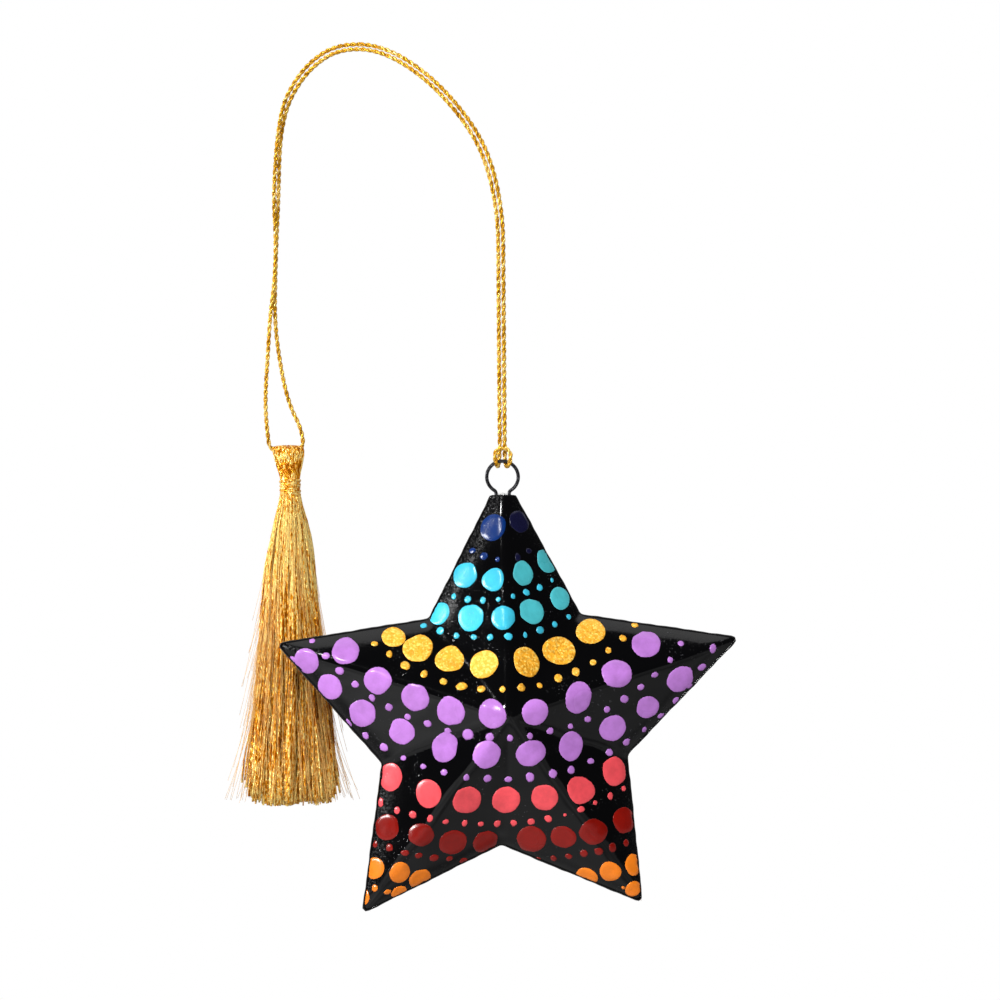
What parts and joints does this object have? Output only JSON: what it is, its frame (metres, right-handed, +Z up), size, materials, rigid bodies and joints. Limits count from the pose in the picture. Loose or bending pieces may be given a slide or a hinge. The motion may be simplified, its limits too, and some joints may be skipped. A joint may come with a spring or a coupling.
{
  "type": "hanging tin star ornament",
  "caption": "Faceted hollow tin star with painted dots, hung by a wire ring from a doubled metallic cord that carries a tassel at its other end.",
  "frame": {"origin": "crown of the cord's arch, under the inner strand, where a hook, branch or hand holds the ornament", "axes": "+Z up; the star's painted front faces -Y; +X to the right as seen from the front; the tassel hangs behind and left of the star"},
  "size_m": [0.0829, 0.0407, 0.1483],
  "materials": {
    "black_lacquer": "gloss",
    "ring_wire": "satin",
    "solder": "satin",
    "gold_cord": "metallic thread",
    "gold_thread": "metallic thread"
  },
  "bodies": {
    "cord_arch": {"cord_arch_inner": "gold_cord", "cord_arch_outer": "gold_cord"},
    "star_fall": {"cord_fall_left": "gold_cord", "cord_fall_right": "gold_cord", "cord_hitch": "gold_cord"},
    "star": {"star_front_shell": "black_lacquer", "star_back_shell": "black_lacquer", "rim_seam_bead": "black_lacquer", "hanger_ring": "ring_wire", "tip_solder": "solder"},
    "tassel_fall": {"cord_tassel_loop": "gold_cord"},
    "tassel": {"tassel_head": "gold_thread", "tassel_binding": "gold_thread", "tassel_skirt": "gold_thread"}
  },
  "joints": [
    {"name": "star_swing", "type": "hinge", "parent": "cord_arch", "child": "star_fall", "pos_m": [0.0242, -0.011, -0.03005], "axis": [0, 1, 0], "range_deg": [-20, 5]},
    {"name": "star_tilt", "type": "hinge", "parent": "star_fall", "child": "star", "pos_m": [0.0242, -0.011, -0.0714], "axis": [1, 0, 0], "range_deg": [-60, 4]},
    {"name": "tassel_swing", "type": "hinge", "parent": "cord_arch", "child": "tassel_fall", "pos_m": [-0.01155, 0.0085, -0.00645], "axis": [0, 1, 0], "range_deg": [-5, 20]},
    {"name": "tassel_tilt", "type": "hinge", "parent": "tassel_fall", "child": "tassel", "pos_m": [-0.01145, 0.011, -0.0684], "axis": [1, 0, 0], "range_deg": [-4, 60]}
  ]
}
